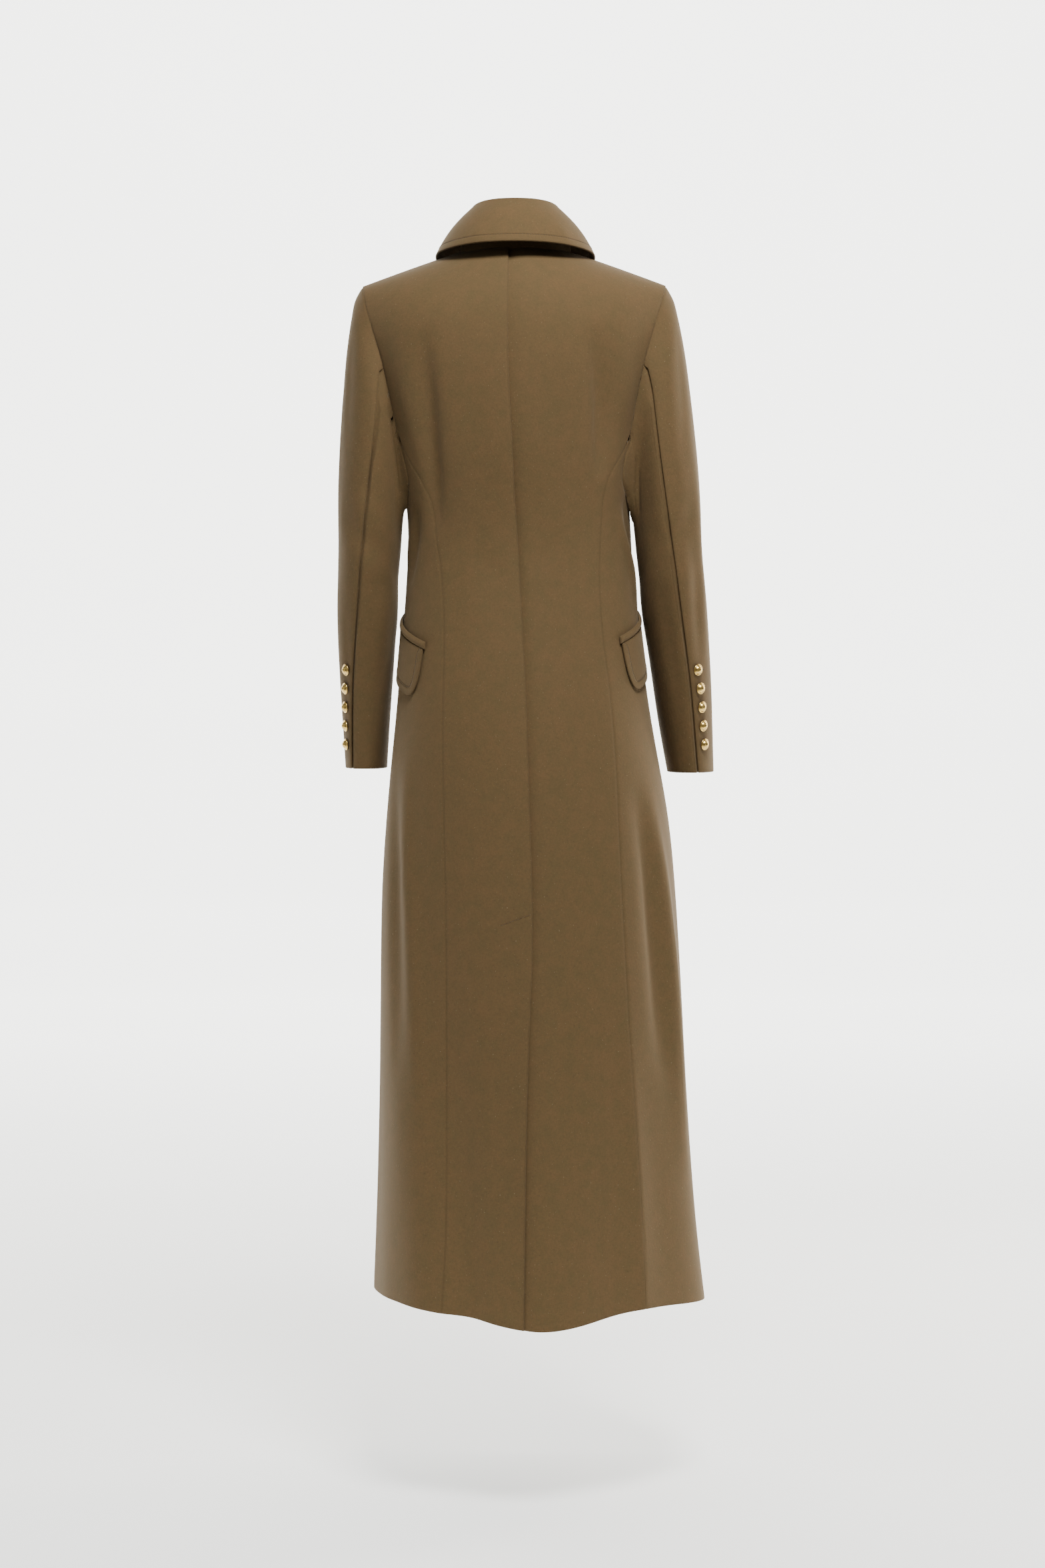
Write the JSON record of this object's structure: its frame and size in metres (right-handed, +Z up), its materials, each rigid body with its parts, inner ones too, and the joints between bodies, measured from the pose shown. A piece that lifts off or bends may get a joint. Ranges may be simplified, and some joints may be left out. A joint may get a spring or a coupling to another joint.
{
  "type": "military greatcoat",
  "caption": "Long double-breasted wool greatcoat with turned-down collar, princess seams, flap pockets, buttoned cuff vents and a back vent, in its worn form.",
  "frame": {"origin": "middle of the neck opening, at the height where the wearer's shoulders carry the coat", "axes": "+Z up, the front faces -Y, the wearer's left is +X"},
  "size_m": [0.486, 0.4587, 1.3949],
  "materials": {
    "wool": "matte napped melton",
    "button_brass": "polished"
  },
  "bodies": {
    "root": {"back_left": "wool", "back_right": "wool", "side_left": "wool", "side_right": "wool", "front_left": "wool", "front_right": "wool", "collar_stand": "wool", "collar_fall": "wool", "sleeve_top_left": "wool", "sleeve_top_right": "wool", "sleeve_under_left": "wool", "sleeve_under_right": "wool", "pocket_welt_left": "wool", "pocket_welt_right": "wool", "pocket_flap_left": "wool", "pocket_flap_right": "wool", "cuff_button_left_1": "button_brass", "cuff_button_left_2": "button_brass", "cuff_button_left_3": "button_brass", "cuff_button_left_4": "button_brass", "cuff_button_left_5": "button_brass", "cuff_button_right_1": "button_brass", "cuff_button_right_2": "button_brass", "cuff_button_right_3": "button_brass", "cuff_button_right_4": "button_brass", "cuff_button_right_5": "button_brass", "front_button_left_1": "button_brass", "front_button_left_2": "button_brass", "front_button_left_3": "button_brass", "front_button_left_4": "button_brass", "front_button_right_1": "button_brass", "front_button_right_2": "button_brass", "front_button_right_3": "button_brass", "front_button_right_4": "button_brass"}
  },
  "joints": []
}
